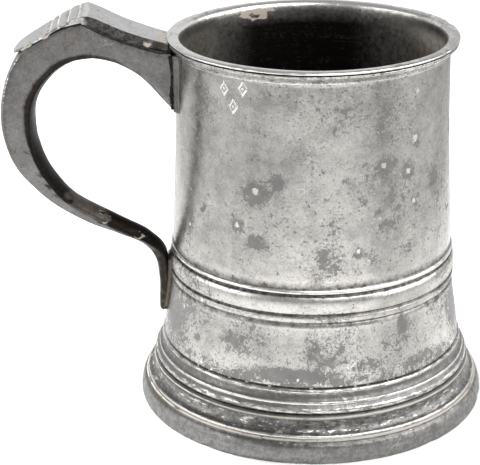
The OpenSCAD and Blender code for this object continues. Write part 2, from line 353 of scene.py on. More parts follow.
# ---------------------------------------------------------------- materials
class Nodes:
    """Short names for the shader nodes that every material here, and the world, is built from."""

    def __init__(self, owner, shader="Principled BSDF", coordinates="Object"):
        owner.use_nodes = True
        self.owner = owner
        self.tree = owner.node_tree
        self.shader = self.tree.nodes[shader]
        self.place = self.add("ShaderNodeTexCoord").outputs[coordinates]

    def add(self, kind, **settings):
        node = self.tree.nodes.new(kind)
        for key, value in settings.items():
            setattr(node, key, value)
        return node

    def link(self, value, socket):
        """Sets a socket to a number or a colour, or links another node's output to it."""
        if isinstance(value, (int, float)):
            socket.default_value = value
        elif isinstance(value, tuple):
            socket.default_value = value if len(value) == 4 or socket.type == "VECTOR" else (*value, 1)
        else:
            self.tree.links.new(value, socket)

    def math(self, kind, first, *others, clamp=False):
        """One operation over two or more numbers, from left to right."""
        result = first
        for value in others:
            node = self.add("ShaderNodeMath", operation=kind, use_clamp=clamp)
            self.link(result, node.inputs[0])
            self.link(value, node.inputs[1])
            result = node.outputs[0]
        return result

    def plus(self, *values):
        return self.math("ADD", *values)

    def times(self, *values):
        return self.math("MULTIPLY", *values)

    def most(self, *values):
        """The largest of several numbers, held between 0 and 1."""
        return self.math("MAXIMUM", *values, clamp=True)

    def without(self, value, share):
        """The value with a share of it taken away."""
        return self.times(value, self.math("SUBTRACT", 1.0, share))

    def sway(self, value, amount):
        """A noise as a number that swings about 0."""
        return self.times(self.math("SUBTRACT", value, 0.5), amount)

    def frayed(self, mark, ragged):
        """The mark, broken up by a ragged noise where it is partial and left alone where it is 0 or 1."""
        partial = self.without(self.times(mark, 4.0), mark)
        return self.math("ADD", mark, self.times(partial, self.sway(ragged, 1.6)), clamp=True)

    def step(self, value, low, high):
        """A soft step of value from 0 at low to 1 at high."""
        node = self.add("ShaderNodeMapRange", interpolation_type="SMOOTHSTEP")
        for v, socket in zip((value, low, high, 0.0, 1.0), node.inputs):
            self.link(v, socket)
        return node.outputs[0]

    def scaled(self, x, y, z, turn=(0, 0, 0)):
        """The place in units of the given sizes, in millimetres."""
        node = self.add("ShaderNodeMapping")
        self.link(self.place, node.inputs["Vector"])
        node.inputs["Scale"].default_value = (1 / (x * MM), 1 / (y * MM), 1 / (z * MM))
        node.inputs["Rotation"].default_value = [math.radians(t) for t in turn]
        return node.outputs[0]

    def noise(self, size, detail=3.0, rough=0.5, distort=0.0, at=None):
        node = self.add("ShaderNodeTexNoise")
        self.link(at or self.scaled(size, size, size), node.inputs["Vector"])
        node.inputs["Scale"].default_value = 1.0
        node.inputs["Detail"].default_value = detail
        node.inputs["Roughness"].default_value = rough
        node.inputs["Distortion"].default_value = distort
        return node.outputs["Fac"]

    def cells(self, size):
        """Distance from the nearest of scattered points, in units of size, and two random numbers for it."""
        node = self.add("ShaderNodeTexVoronoi")
        self.link(self.scaled(size, size, size), node.inputs["Vector"])
        node.inputs["Scale"].default_value = 1.0
        chance = self.add("ShaderNodeSeparateColor")
        self.link(node.outputs["Color"], chance.inputs[0])
        return node.outputs["Distance"], chance.outputs[0], chance.outputs[1]

    def mark(self, name):
        return self.add("ShaderNodeAttribute", attribute_name=name).outputs["Fac"]

    def mix(self, share, a, b):
        """A number that goes from a to b."""
        node = self.add("ShaderNodeMix", data_type="FLOAT")
        self.link(share, node.inputs[0])
        self.link(a, node.inputs[2])
        self.link(b, node.inputs[3])
        return node.outputs[0]

    def blend(self, share, a, b, how="MIX"):
        """A colour that goes from a to b."""
        node = self.add("ShaderNodeMix", data_type="RGBA", blend_type=how)
        self.link(share, node.inputs[0])
        self.link(a, node.inputs[6])
        self.link(b, node.inputs[7])
        return node.outputs[2]

    def grey(self, tone):
        node = self.add("ShaderNodeCombineColor")
        for socket in node.inputs:
            self.link(tone, socket)
        return node.outputs[0]

    def relief(self, height, strength, distance, under=None):
        node = self.add("ShaderNodeBump")
        node.inputs["Strength"].default_value = strength
        node.inputs["Distance"].default_value = distance * MM
        self.link(height, node.inputs["Height"])
        if under is not None:
            self.link(under, node.inputs["Normal"])
        return node.outputs[0]


def spots(n, size, radius, share):
    """Round pits on about the given share of scattered points, 1 inside a pit."""
    distance, chance, big = n.cells(size)
    inside = n.step(n.math("SUBTRACT", distance, n.times(big, radius)), 0.06, -0.06)
    present = n.step(n.math("SUBTRACT", share, chance), 0.0, 0.02)
    return n.times(inside, present)


def chipped(n, chips, ragged):
    """1 in each chip of the drum's skin, with a ragged edge."""
    nearest = []
    for angle, height, half in chips:
        turn = math.radians(angle)
        r = wall_r(height)
        gap = n.add("ShaderNodeVectorMath", operation="DISTANCE")
        n.link(n.place, gap.inputs[0])
        n.link((r * math.cos(turn) * MM, r * math.sin(turn) * MM, height * MM), gap.inputs[1])
        nearest.append(n.times(gap.outputs["Value"], 1 / (half * MM)))
    return n.step(n.plus(n.math("MINIMUM", *nearest), n.sway(ragged, 2.2)), 1.1, 0.8)


def hairlines(n, size, turn, width, share=0.5):
    """Thin scratches: the level lines of a stretched noise, broken up by a second one."""
    lines = n.noise(1, detail=1.0, at=n.scaled(size, size * 6, size, turn))
    thin = n.step(n.math("ABSOLUTE", n.math("SUBTRACT", lines, 0.5), 0.0), width, 0.0)
    broken = n.step(n.noise(size * 2.2, detail=2.0), 1 - share, 1 - share + 0.08)
    return n.times(thin, broken)


CLEAN = (0.615, 0.598, 0.570)
# The dull grey is tarnish, and painted shade in a few patches low on the drum; the near-black film colour is
# oxide, and painted shade inside the drum, under the thumb plate and on the plate's edges
DULL = (0.195, 0.19, 0.185)
BLACK_FILM_AND_SHADE = (0.018, 0.015, 0.013)
BROWN_FILM = (0.108, 0.089, 0.068)
BRIGHT = (0.80, 0.79, 0.775)
DARK_SCRATCH = (0.22, 0.22, 0.22)
PALE_DIRT = (0.44, 0.39, 0.325)


def pewter(name, clean=CLEAN, rough=0.24, dull=DULL, grain=1.0, specked=0.0, lines=0.35, rubbed=BRIGHT,
        hazy=0.12, pinned=0.3, chips=()):
    """Aged pewter: clean metal under tarnish, films, rubs, dirt and painted shade, which the marks on the
    mesh place.

    grain is the strength of the fine tone and relief, specked adds dark specks everywhere, lines and hazy are
    the strength of scratches and of haze, and pinned is how many bright pin spots the tarnish has.
    """
    n = Nodes(bpy.data.materials.new(name))
    clouds = n.noise(34, detail=3.0)
    mottle = n.noise(5.0, detail=5.0, rough=0.62)
    fine = n.noise(0.9, detail=4.0, rough=0.65)
    ragged = n.noise(2.2, detail=6.0, rough=0.66)
    crumbs = n.noise(0.75, detail=3.0, rough=0.7)
    bloom = n.mark("bloom")
    worn = n.mark("worn")

    # Dull bloom, and in places painted shade: solid with a ragged edge where its mark is high, and a scatter
    # of specks where it is low
    patch = n.step(n.plus(bloom, n.sway(ragged, 3.3), n.sway(crumbs, 0.5)), 0.60, 0.66)
    speck = n.step(n.plus(crumbs, n.times(bloom, 0.30), specked, n.sway(clouds, 0.12)), 0.72, 0.77)
    pits = spots(n, 1.4, 0.38, n.plus(n.times(bloom, 0.5), 0.07))
    chip = chipped(n, chips, crumbs) if chips else 0.0
    dark = n.without(n.most(patch, pits, n.times(speck, 0.85)), chip)

    # Bare metal: clouds, mottle and fine grain, with haze and hairline scratches
    scratch = n.most(hairlines(n, 7, (20, 35, 10), 0.006, 0.55), hairlines(n, 11, (-40, 10, 60), 0.005, 0.55))
    pale_scratch = hairlines(n, 11, (60, -25, 100), 0.004, 0.45)
    tone = n.plus(0.80, n.times(clouds, 0.26), n.sway(mottle, 0.50 * grain), n.sway(fine, 0.60 * grain))
    haze = n.step(n.plus(n.noise(9, detail=8.0, rough=0.74), n.sway(crumbs, 0.35)), 0.47, 0.60)
    tone = n.without(n.without(tone, n.times(haze, hazy)), n.times(bloom, 0.17))
    colour = n.blend(1.0, clean, n.grey(tone), "MULTIPLY")
    colour = n.blend(n.times(scratch, lines), colour, DARK_SCRATCH)
    soft_dull = n.blend(1.0, dull, n.grey(n.plus(1.0, n.sway(mottle, 0.9))), "MULTIPLY")
    colour = n.blend(n.times(dark, 0.92), colour, soft_dull)
    pins = spots(n, 3.4, 0.27, n.times(bloom, pinned))
    for share in (n.times(pins, patch), chip, n.times(pale_scratch, lines)):
        colour = n.blend(share, colour, BRIGHT)

    # Films of brown and black oxide, the black also painted shade in places, scuffed where a noise is high
    turned = n.noise(1, detail=2.0, at=n.scaled(40, 40, 0.35))
    scuffed = n.step(n.plus(fine, n.sway(mottle, 0.6), n.sway(turned, 0.7)), 0.56, 0.80)
    brown = n.times(n.frayed(n.mark("brown"), ragged), n.mix(scuffed, 1.0, 0.65))
    oxide = n.times(n.frayed(n.mark("oxide"), ragged), n.mix(scuffed, 1.0, 0.88))
    colour = n.blend(brown, colour, BROWN_FILM)
    colour = n.blend(oxide, colour, BLACK_FILM_AND_SHADE)

    # Edges rubbed bright in streaks, and pale dirt that is broken here and there
    streaks = n.noise(1, detail=6.0, rough=0.72, at=n.scaled(4.5, 4.5, 1.1))
    rub = n.times(n.step(n.plus(streaks, n.times(worn, 0.42)), 0.68, 0.76), n.step(worn, 0.02, 0.3))
    colour = n.blend(rub, colour, rubbed)
    torn = n.sway(n.noise(3.5, detail=5.0, rough=0.65), 1.6)
    pale = n.step(n.plus(n.mark("cream"), torn), 0.58, 0.80)
    colour = n.blend(pale, colour, PALE_DIRT)
    n.link(colour, n.shader.inputs["Base Color"])

    soft = n.most(pale, n.times(brown, 0.5))
    n.link(n.mix(soft, n.mix(dark, 1.0, 0.85), 0.10), n.shader.inputs["Metallic"])
    shine = n.plus(rough, n.sway(mottle, 0.20))
    for share, level in ((dark, 0.46), (n.most(oxide, brown), 0.46), (rub, 0.26), (pale, 0.85)):
        shine = n.mix(share, shine, level)
    n.link(shine, n.shader.inputs["Roughness"])

    height = n.plus(n.times(fine, 0.5), n.times(turned, 0.25))
    for part, rise in ((pits, -0.9), (scratch, -0.5), (chip, -0.8), (pale, 0.6)):
        height = n.plus(height, n.times(part, rise))
    normal = n.relief(height, 0.35, 0.12 * grain)
    normal = n.relief(mottle, 0.25, 0.22 * grain, normal)
    n.link(normal, n.shader.inputs["Normal"])
    return n.owner


body_pewter = pewter("body_pewter", rough=0.28, specked=0.06, lines=0.85, hazy=0.19, pinned=0.5, chips=CHIPS)
foot_pewter = pewter("foot_pewter", clean=(0.29, 0.285, 0.276), rough=0.34, dull=(0.165, 0.162, 0.158),
    rubbed=(0.60, 0.59, 0.56), pinned=0.0)
handle_pewter = pewter("handle_pewter", clean=(0.252, 0.247, 0.245), rough=0.48, dull=(0.15, 0.14, 0.13),
    grain=1.7, specked=0.02, lines=0.3)
plate_pewter = pewter("plate_pewter", clean=(0.76, 0.76, 0.76), rough=0.38, grain=0.7, lines=0.5)
seam_solder = pewter("seam_solder", clean=(0.10, 0.092, 0.082), rough=0.55, dull=(0.05, 0.046, 0.042))


# ---------------------------------------------------------------- drum
def between(low, high):
    return [(r, z) for r, z in wall_line if low <= z <= high]


def band_rows():
    """The turned band: fillet, groove, broad swell, groove and a bead."""
    def at(points):
        return [(NECK_R + r, BAND_Z + z) for r, z in points]
    return (
        run(at([(3.95, -7.5), (3.62, -7.15), (3.75, -6.75)]), 2, oxide=0.6)
        + run(at([(4.1, -6.4), (4.2, -5.6), (4.12, -4.6)]), 2, bloom=0.2, worn=0.2)
        + run(at([(3.95, -4.3), (3.5, -3.95), (3.4, -3.7), (3.55, -3.45)]), 2, oxide=0.72)
        + run(at([(3.9, -3.2), (4.12, -2.7), (4.27, -1), (4.25, 0.4), (4.05, 1.8), (3.6, 2.9)]), 4)
        + run(at([(3.3, 3.3), (2.8, 3.6), (2.72, 3.9), (2.95, 4.15)]), 2, oxide=0.78)
        + run(at([(3.2, 4.35), (3.45, 4.7), (3.52, 5.1), (3.4, 5.5), (3.1, 5.85)]), 3, worn=0.6)
        + run(at([(2.8, 6.0), (2.62, 6.3), (2.66, 6.7)]), 2, oxide=0.65)
    )


def lip_rows():
    """The lip moulding, from the wall up over the rim to the inside edge."""
    def at(points):
        return [(LIP_R + r, lip_z + z) for r, z in points]
    return (
        run(at([(-3.35, -5.8), (-3.3, -5.6)]), 2, bloom=0.3)
        + run(at([(-3.15, -5.45), (-2.9, -5.35), (-2.68, -5.15)]), 2, worn=0.7)
        + run(at([(-2.75, -4.85), (-2.6, -4.5), (-2.1, -4.0), (-1.3, -3.35), (-0.7, -2.75)]), 3, bloom=0.42)
        + run(at([(-0.4, -2.4), (-0.25, -2.0), (-0.3, -1.7)]), 2, bloom=0.35, worn=0.25)
        + run(at([(-0.65, -1.55), (-0.85, -1.35), (-0.5, -1.15)]), 2, oxide=1.0)
        + run(at([(-0.1, -1.0), (0.0, -0.7), (-0.12, -0.4), (-0.5, -0.15), (-1.3, -0.02), (-2.3, 0.0),
            (-3.3, -0.15), (-4.1, -0.5), (-4.6, -1.1)]), 3, worn=0.75)
    )


def inside_rows():
    """The inside wall, from below the rim down to the floor and the end of the spigot."""
    top = [(LIP_R - 4.85, lip_z - 2.2), (LIP_R - 4.98, lip_z - 4), (NECK_R - WALL, lip_z - 9)]
    heights = [126, 110, 94, 79, 65, 49, 36, 28]
    wall = [(wall_r(z) - WALL, z) for z in heights]
    return (
        run(top + wall, 4, inside=1)
        + run([(spigot_r, 25), (spigot_r, 20), (spigot_r, floor_top)], 2, oxide=0.7)
        + run([(spigot_r, floor_low), (spigot_r, spigot_low)], 2, bloom=0.5)
        + run([(spigot_r + 1.3, spigot_low), (spigot_r + 1.3, shoulder_z)], 3, bloom=0.5)
    )


drum_rows = (
    run(between(shoulder_z, BAND_Z - 8.3), 1)
    + band_rows()
    + run(between(BAND_Z + 7.2, lip_z - 5.9), 1)
    + lip_rows()
    + inside_rows()
)
lathe("drum_turned", drum_rows, warp_drum, body_pewter, ["drum"], drum_marks)

# Punched marks under the lip: angle, height. Each is a lozenge with a dot in it.
PUNCHES = [(-132, 136), (-123, 137), (-127.5, 130)]
PUNCH_HALF = (1.7, 2.3)      # half width and half height of a lozenge
PUNCH_LINE = 0.42            # half width of its line
PUNCH_PROUD = 0.16
PUNCH_STEPS = 48
DOT_STEPS = 12
# Across the line of a lozenge, from its outer side inwards: distance, height above the skin
PUNCH_PROFILE = [(1.3 * PUNCH_LINE, -0.1), (PUNCH_LINE, 0.02), (0.45 * PUNCH_LINE, PUNCH_PROUD),
    (-0.45 * PUNCH_LINE, PUNCH_PROUD), (-PUNCH_LINE, 0.02), (-1.3 * PUNCH_LINE, -0.1)]
DOT_PROFILE = [(0.62, -0.12), (0.45, 0.06), (0.22, 0.11)]
DOT_CENTRES = (-0.12, 0.12)


def on_wall(angle, height, along, up, out):
    """A point on the drum wall, moved along and up from a place and out from the skin."""
    z = height + up
    r, z = warp_drum(wall_r(z), z, angle + math.degrees(along / wall_r(z)))
    turn = math.radians(angle) + along / r
    return ((r + out) * math.cos(turn), (r + out) * math.sin(turn), z)


def punch_marks():
    """The raised burrs that a lozenge punch leaves, as closed ridges, and a dot in each. Black dirt lies
    along the foot of every ridge and dot."""
    points = []
    faces = []
    marks = []
    for angle, height in PUNCHES:
        faces += quads(len(points), PUNCH_STEPS, len(PUNCH_PROFILE), True)
        for i in range(PUNCH_STEPS):
            t = 4 * i / PUNCH_STEPS
            x = table([(0, 1), (2, -1), (4, 1)], t) * PUNCH_HALF[0]
            y = table([(0, 0), (1, 1), (3, -1), (4, 0)], t) * PUNCH_HALF[1]
            for offset, out in PUNCH_PROFILE:
                grow = 1 + offset / PUNCH_HALF[0]
                proud = out * (1 + 0.5 * wander(i, 3, angle)) if out > 0.05 else out
                points.append(on_wall(angle, height, x * grow, y * grow, proud))
                marks.append({"worn": 0.8, "oxide": 0.95 * (out < 0.05)})
        faces += capped(len(points), len(DOT_PROFILE), DOT_STEPS)
        for dot_r, out in DOT_PROFILE:
            for i in range(DOT_STEPS):
                turn = 2 * math.pi * i / DOT_STEPS
                points.append(on_wall(angle, height, dot_r * math.cos(turn), dot_r * math.sin(turn), out))
                marks.append({"worn": 0.8, "oxide": 0.9 * (out < 0)})
        for out in DOT_CENTRES:
            points.append(on_wall(angle, height, 0, 0, out))
            marks.append({"worn": 0.8})
    make_piece("punch_marks", points, faces, body_pewter, [], marks)


punch_marks()


# ---------------------------------------------------------------- foot and floor
def foot_rows():
    """The foot moulding, from its top edge down the steps, under the rim and up the hollow inside."""
    back = foot_r - 68.4
    outline = (
        run([(57.9, 26.1), (58.6, 26.08), (59.05, 25.8), (59.4, 25.25), (59.35, 24.75), (59.15, 24.35)], 2,
            worn=0.55, bloom=0.2)
        + run([(59.15, 24.2), (59.3, 23.5), (59.75, 22.5), (60.4, 21.85)], 3, bloom=0.76, oxide=0.15)
        + run([(60.65, 21.65), (60.8, 21.3), (60.75, 20.85)], 2, worn=0.7)
        + run([(60.8, 20.5), (61.4, 19.9)], 3, bloom=0.74, worn=0.1)
        + run([(61.75, 19.45), (62.0, 19.1), (62.15, 18.3), (61.95, 17.7)], 3, bloom=0.55, worn=0.5)
        + run([(61.7, 17.4), (61.45, 17.15), (61.6, 16.9)], 2, oxide=0.9)
        + run([(62.1, 16.7), (62.55, 16.45)], 2)
        + run([(62.74, 16.2), (62.8, 16.0)], 1, cream=1.0)
        + run([(62.81, 15.85), (62.78, 15.6)], 2, bloom=0.4)
        + run([(62.6, 15.1), (62.45, 14.5), (62.5, 13.5), (62.95, 12.2), (63.9, 11.0), (64.9, 10.4)], 3,
            bloom=0.42, oxide=0.30, worn=0.3)
        + run([(65.3, 10.15), (65.55, 9.8), (65.55, 9.4)], 2, worn=0.7)
        + run([(65.5, 9.2), (65.6, 9.0)], 2)
        + run([(65.85, 8.88), (66.1, 8.7), (66.2, 8.55)], 1, cream=1.0)
        + run([(66.24, 8.48), (66.25, 8.4)], 1, bloom=0.4)
        + run([(66.2, 8.1), (66.25, 7.8), (66.75, 7.45), (67.3, 6.8)], 2, bloom=0.35, oxide=0.3, worn=0.2)
        + run([(67.7, 5.8), (68.15, 4.1), (68.38, 2.3), (68.4, 1.1), (68.25, 0.35)], 4, bloom=0.58, worn=0.1)
        + run([(68.0, 0.0), (66.6, 0.0), (65.2, 0.0)], 2, worn=0.6)
        + run([(64.95, 0.3), (64.7, 2.0), (62.6, 5.5), (60.4, 9.5), (58.1, 13.6)], 3, bloom=0.55)
        + run([(57.9, 14.4), (57.9, 25.0)], 3, bloom=0.5)
    )
    return [(r + back, z, marks) for r, z, marks in outline]


def foot_marks(r, z, angle, row_marks):
    """The outline's own marks, with dirt and rubs that come and go round the foot."""
    here = dict(row_marks)
    front = bell(turn_gap(angle, -92), 34)
    if z < 15 and here.get("oxide"):
        here["oxide"] = min(here["oxide"] * (0.8 + 0.9 * front), 1.0)
    if here.get("cream"):
        here["cream"] = 0.88 + 0.35 * wander(angle, 9, z)
    if here.get("worn"):
        here["worn"] = max(here["worn"] * (1 + 0.5 * wander(angle, 14, z)), 0.0)
    here["bloom"] = max(here.get("bloom", 0.0) + 0.22 * wander(angle, 8, z / 4), 0.0)
    return here


def ring(r0, r1, z0, z1, **marks):
    """Rows round the section of a flat ring."""
    return (run([(r0, z0), (r1, z0)], 3, **marks) + run([(r1, z0 + 0.02), (r1, z1 - 0.02)], 3, **marks)
        + run([(r1, z1), (r0, z1)], 3, **marks))


def crumbed(r, z, angle, row_marks):
    """Solder with crumbs of brown and pale dirt along it."""
    here = dict(row_marks)
    here["brown"] = smooth(-0.1, 0.3, wander(angle, 2.4, 5))
    here["cream"] = 0.8 * smooth(0.15, 0.35, wander(angle, 1.3, 8))
    return here


lathe("foot_moulding", foot_rows(), warp_foot, foot_pewter, ["foot_ring"], foot_marks)
lathe("foot_seam", ring(spigot_r + 1.2, spigot_r + 1.75, foot_top, shoulder_z, oxide=0.6), warp_seam,
    seam_solder, ["foot_solder"], crumbed)

DISC_RINGS = 40
DISC_STEPS = 128


def disc(name, radius, top, low, material, replaced):
    """A floor disc with faint turning rings, closed at both centres, under a black film on top."""
    rings = [radius * math.sqrt(i / DISC_RINGS) for i in range(1, DISC_RINGS + 1)]
    rows = [(r, low + 0.03 * math.sin(r * 1.3)) for r in rings]
    rows += [(r, top + 0.03 * math.sin(r * 1.7)) for r in reversed(rings)]
    points = []
    for r, z in rows:
        for k in range(DISC_STEPS):
            turn = 2 * math.pi * k / DISC_STEPS
            points.append((r * math.cos(turn), r * math.sin(turn), z))
    points += [(0, 0, low), (0, 0, top)]
    marks = [
        {"oxide": 0.9 * (p[2] > (top + low) / 2), "bloom": 0.62 + 0.3 * noise.noise(Vector(p) / 14)}
        for p in points
    ]
    make_piece(name, points, capped(0, len(rows), DISC_STEPS), material, replaced, marks)


disc("floor_disc", spigot_r, floor_top, floor_low, body_pewter, ["bottom_disc"])
fillet = [(spigot_r, floor_low), (spigot_r - 2.2, floor_low), (spigot_r - 1.2, floor_low - 0.8),
    (spigot_r, spigot_low + 0.1)]
lathe("floor_fillet", run(fillet, 3, bloom=0.3), warp_none, seam_solder, ["bottom_solder"])

# ---------------------------------------------------------------- handle
# Side view of the handle, wide end to tail: (outer distance, outer height, inner distance, inner height)
TOP_SIDE = [(53.4, 141.1, 53.4, 118.9), (58, 141.4, 57, 123.2), (66, 143.8, 64.5, 131.6),
    (76, 147.6, 73.5, 137.0), (86.4, 153, 82, 138.9)]
GRIP_SIDE = [(86.4, 153, 82, 138.9), (93.5, 151.1, 88.6, 137.9), (101, 147.3, 94.3, 135.1),
    (107.4, 143.4, 98.8, 131), (112.4, 137, 102.5, 126), (116.1, 129, 104.7, 120.8),
    (118.2, 119, 105.5, 114.6), (118.0, 109, 104.7, 106.4), (115, 98.5, 101.7, 97),
    (109.5, 90.5, 97.6, 90.2), (100.5, 81.5, 91, 83), (88, 73.5, 80, 76.6), (76, 68, 71, 71.8),
    (66.5, 63, 63.4, 67.3), (61.6, 57, 57.0, 59.6), (60.1, 48, 56.4, 48), (60.2, 40, 56.7, 40),
    (60.2, 36.5, 57.6, 36.0), (59.6, 35.2, 58.6, 34.9)]
# At each of those: half width of the handle, and how far its outer and inner faces are crowned
TOP_WIDTH = [(8.4, 0, 0.4), (8.8, 0, 0.5), (9.3, 0, 0.8), (9.9, 0, 1.4), (10.2, 0, 2.0)]
GRIP_WIDTH = [(10.2, 0, 2.0), (10.1, 0, 2.5), (9.9, 0, 3.0), (9.7, 0.15, 3.2), (9.5, 0.3, 3.5),
    (9.3, 0.8, 3.5), (9.0, 1.35, 3.2), (8.6, 1.45, 3.2), (8.1, 1.5, 3.2), (7.6, 1.45, 3.4),
    (7.0, 1.3, 4.0), (6.2, 0.9, 4.6), (5.7, 1.0, 4.2), (5.45, 1.4, 3.1), (5.4, 1.0, 1.3),
    (5.35, 0.6, 0.3), (5.2, 0.35, 0.2), (4.6, 0.2, 0.1), (3.6, 0.1, 0.1)]
FACE_STEPS = 9               # points across half of each face of the handle
SIDE_STEPS = 7
CORNER_STEPS = 4
SIDE_CURVE_STEPS = 12


def handle_loop(outer, inner, half, crown_out, crown_in, corner_out, corner_in, soft):
    """One ring of points round the handle, with the kind of face that each lies on.

    soft goes from 0, a crisp low crown, to 1, a crown that runs into the side.
    """
    ox, oz = outer
    ix, iz = inner
    thick = math.hypot(ox - ix, oz - iz)
    dx, dz = (ox - ix) / thick, (oz - iz) / thick
    low, high = crown_in, thick - crown_out
    room = min((high - low) * 0.45, half * 0.45)
    c_out = min(corner_out, room)
    c_in = min(corner_in, room)
    ring_points = []

    def put(kind, y, u):
        ring_points.append((kind, (-(ix + dx * u), y, iz + dz * u)))

    def crown(y, amount, softness):
        s = min(abs(y) / half, 1.0)
        return amount * ((1 - softness) * (1 - s * s) + softness * math.sqrt(1 - s ** 2.6))

    def corner(kind, sign, rising, level, c, amount, softness):
        """A rounded corner at one side. rising is True where the ring runs from the face to the side."""
        inward = -1 if level == high else 1
        for i in range(1, CORNER_STEPS):
            share = i / CORNER_STEPS if rising else 1 - i / CORNER_STEPS
            a = math.pi / 2 * share
            lift = crown(half - c, amount, softness) * math.cos(a)
            put(kind, sign * (half - c + c * math.sin(a)), level + inward * (c * (1 - math.cos(a)) - lift))

    for i in range(FACE_STEPS * 2 + 1):
        y = (half - c_in) * (i / FACE_STEPS - 1)
        put("inner", y, low - crown(y, crown_in, soft))
    corner("inner_edge", 1, True, low, c_in, crown_in, soft)
    for i in range(SIDE_STEPS):
        put("side", half, low + c_in + (high - low - c_in - c_out) * i / (SIDE_STEPS - 1))
    corner("outer_edge", 1, False, high, c_out, crown_out, 0)
    for i in range(FACE_STEPS * 2 + 1):
        y = (half - c_out) * (1 - i / FACE_STEPS)
        put("outer", y, high + crown(y, crown_out, 0))
    corner("outer_edge", -1, True, high, c_out, crown_out, 0)
    for i in range(SIDE_STEPS):
        put("side", -half, high - c_out - (high - low - c_in - c_out) * i / (SIDE_STEPS - 1))
    corner("inner_edge", -1, False, low, c_in, crown_in, soft)
    return ring_points


def handle_marks(kind, x, y, z, index):
    """Films and rubs on the casting: black on the inner face, brown on the tail, a rubbed outer edge, and
    painted shade on the outer edge under the thumb plate.
    """
    out = -x
    blotch = noise.noise(Vector((x, y, z)) / 9)
    tail = smooth(66, 58, z) * smooth(70, 62, out)
    shade_under_plate = smooth(110, 104, out) * smooth(138, 141, z)      # the part under the thumb plate
    marks = {"bloom": 0.24 + 0.2 * blotch, "brown": 0.14 + 0.3 * blotch}
    if kind == "side" and z < 104:
        torn = noise.noise(Vector((x, y, z)) / 2.5)
        by_inner_face = index in (0, 1, 2 * SIDE_STEPS - 2, 2 * SIDE_STEPS - 1)
        marks["oxide"] = 0.8 * smooth(0.12, 0.3, torn) * by_inner_face
    if kind in ("inner", "inner_edge"):
        reach = out + 4.0 * noise.noise(Vector((x, y, z)) / 3.4) + 1.5 * noise.noise(Vector((x, y, z)) / 1.4)
        low_part = smooth(100, 90, z)
        # A bare brown patch lies from 80 to 95 out, with pale dirt at its near end and again at 67
        patch = smooth(79.4, 80.6, reach) * smooth(96, 93, reach) * low_part
        marks["oxide"] = 0.98 - 0.72 * patch
        marks["brown"] = 0.75 * patch
        broken = smooth(-0.5, -0.1, wander(y, 1.3, 2)) * low_part
        marks["cream"] = 0.95 * max(bell(reach - 80, 0.7), bell(reach - 67, 0.7)) * broken
        marks["bloom"] = 0.0
        if z > 108:
            marks["oxide"] *= 0.45 + 0.53 * smooth(66, 86, out)
    if kind == "outer_edge":
        marks["worn"] = (0.1 + 0.28 * smooth(104, 122, z)) * (1 - shade_under_plate)
        # Painted shade: the outer edge is near-black where it runs under the thumb plate
        marks["oxide"] = 0.85 * shade_under_plate
    if kind == "outer":
        marks["worn"] = 0.08
        marks["bloom"] = 0.35
    if kind == "side":
        beside_edge = index in (SIDE_STEPS - 1, SIDE_STEPS)
        marks["oxide"] = max(marks.get("oxide", 0.0), 0.25 * beside_edge * smooth(96, 112, z))
    mottled = noise.noise(Vector((x, y, z)) / 2)
    rusty = smooth(-0.05, 0.3, mottled)
    marks["brown"] = max(marks["brown"], tail)
    marks["oxide"] = max(marks.get("oxide", 0.0), tail * (1.0 - 0.45 * rusty))
    return {mark: max(value, 0.0) for mark, value in marks.items()}


def handle():
    side = curve(TOP_SIDE, SIDE_CURVE_STEPS)[:-1] + curve(GRIP_SIDE, SIDE_CURVE_STEPS)
    width = curve(TOP_WIDTH, SIDE_CURVE_STEPS)[:-1] + curve(GRIP_WIDTH, SIDE_CURVE_STEPS)
    loops = []
    marks = []
    for (ox, oz, ix, iz), (half, crown_out, crown_in) in zip(side, width):
        corner_out = table([(40, 0.9), (75, 0.7), (100, 0.8), (125, 0.7), (150, 0.5)], oz)
        corner_in = table([(40, 0.7), (90, 0.6), (105, 0.8), (125, 1.5), (150, 1.5)], oz)
        crowns = (max(crown_out, 0), max(crown_in, 0))
        soft = smooth(98, 122, oz)
        ring_points = handle_loop((ox, oz), (ix, iz), half, *crowns, corner_out, corner_in, soft)
        sides_seen = 0
        for kind, place in ring_points:
            marks.append(handle_marks(kind, *place, sides_seen))
            sides_seen += kind == "side"
        loops.append([place for kind, place in ring_points])
    loops = roughened(roughened(loops, 6, 0.10, 1), 1.8, 0.045, 4)
    loft("grip_casting", loops, handle_pewter, ["handle_shell"], marks)


handle()

# ---------------------------------------------------------------- thumb plate
PLATE_TOP = [(54.2, 144.8), (64.3, 148.0), (71.5, 150.8), (79.5, 154.6), (83.7, 156.2)]
PLATE_OUT = [(84.5, 156.1), (88.8, 155.0), (93.4, 152.9), (98.9, 149.7), (106.6, 145.2), (110.8, 142.7),
    (112.0, 141.7)]
SEAM_LINE = [(50, 141), (57, 141.2), (66, 143.8), (76, 147.6), (86.4, 153), (93.5, 151.2), (101, 147.3),
    (107.4, 143.6), (112.3, 139.8)]
PLATE_HALF = [(50, 9.1), (58, 9.3), (70, 10.2), (84, 10.6), (92, 10.4), (103.5, 9.8)]
GROOVES = [86.9, 90.8, 94.9, 97.7]
TIP_FROM = 102.5
TIP_LONG = 9.6
SOLDER = 0.4
PLATE_STEPS = 14             # points across half of the plate


def plate_half(r):
    if r <= TIP_FROM:
        return table(PLATE_HALF, r)
    along = min((r - TIP_FROM) / TIP_LONG, 0.999)
    return 9.8 * (1 - along ** 2.4) ** 0.5


